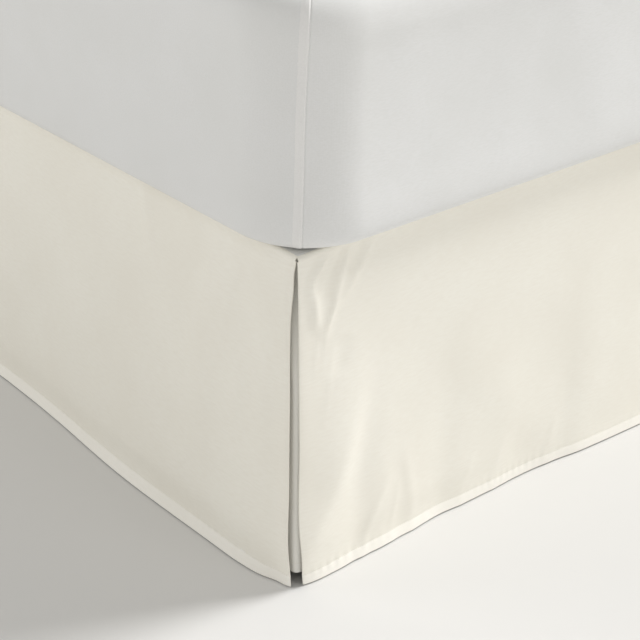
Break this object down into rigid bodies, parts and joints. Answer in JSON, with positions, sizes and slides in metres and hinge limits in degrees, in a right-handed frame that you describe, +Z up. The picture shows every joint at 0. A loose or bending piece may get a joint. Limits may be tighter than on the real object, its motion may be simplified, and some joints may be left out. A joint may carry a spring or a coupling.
{
  "type": "bed skirt on a bed with mattress and box spring",
  "caption": "Tailored cloth bed skirt with an open pleated corner at each side of the foot, hanging from its platform cloth over the box spring of a plain bed, under the mattress.",
  "frame": {"origin": "on the floor, at the middle of the bed", "axes": "+Z up, +Y from the foot of the bed to its head, +X to the right seen from the foot"},
  "size_m": [1.5654, 2.07, 0.6363],
  "materials": {
    "cream_cloth": "matte brushed microfibre, plain weave",
    "platform_cloth": "matte plain weave",
    "white_sheet": "matte stretched sheeting",
    "box_cover": "matte plain weave",
    "painted_steel": "satin powder coat"
  },
  "bodies": {
    "root": {"deck": "platform_cloth", "side_panel_left": "cream_cloth", "side_panel_right": "cream_cloth", "foot_panel": "cream_cloth", "corner_pleat_left": "cream_cloth", "corner_pleat_right": "cream_cloth", "mattress": "white_sheet", "box_spring": "box_cover", "side_rail_left": "painted_steel", "side_rail_right": "painted_steel", "cross_rail_foot": "painted_steel", "cross_rail_middle": "painted_steel", "cross_rail_head": "painted_steel", "leg_1": "painted_steel", "leg_2": "painted_steel", "leg_3": "painted_steel", "leg_4": "painted_steel", "leg_5": "painted_steel", "leg_6": "painted_steel", "leg_7": "painted_steel", "leg_8": "painted_steel"}
  },
  "joints": []
}
